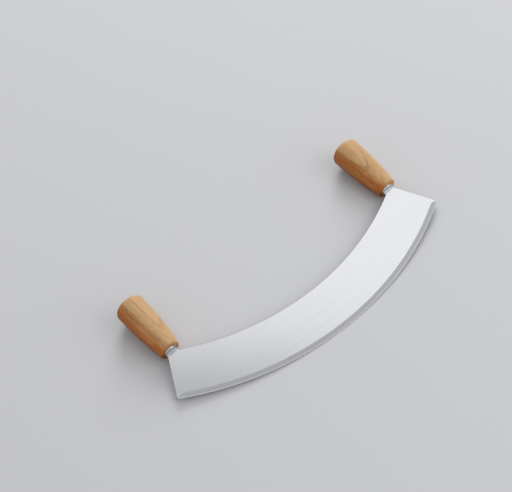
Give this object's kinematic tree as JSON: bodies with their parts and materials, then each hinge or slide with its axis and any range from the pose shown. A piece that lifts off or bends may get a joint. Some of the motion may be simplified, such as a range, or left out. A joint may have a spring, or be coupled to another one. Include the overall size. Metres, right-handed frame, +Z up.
{
  "type": "rocking pizza knife",
  "caption": "Two-handled rocking pizza knife: a crescent steel blade with a ground curved edge and a turned wooden handle standing on each end.",
  "frame": {"origin": "bottom centre of the knife's box, on the table that it lies on", "axes": "+X along the blade from the left handle's side to the right handle's, +Y from the cutting edge to the handles, +Z up from the table"},
  "size_m": [0.34, 0.163, 0.0342],
  "materials": {
    "blade_steel": "satin, finely brushed",
    "tang_steel": "turned and ground",
    "collar_steel": "polished",
    "handle_wood": "turned, sanded and oiled",
    "bedding_resin": "hardened resin"
  },
  "bodies": {
    "root": {"blade": "blade_steel", "left_tang": "tang_steel", "right_tang": "tang_steel", "left_collar": "collar_steel", "right_collar": "collar_steel", "left_handle": "handle_wood", "right_handle": "handle_wood", "left_tang_bedding": "bedding_resin", "right_tang_bedding": "bedding_resin"}
  },
  "joints": []
}
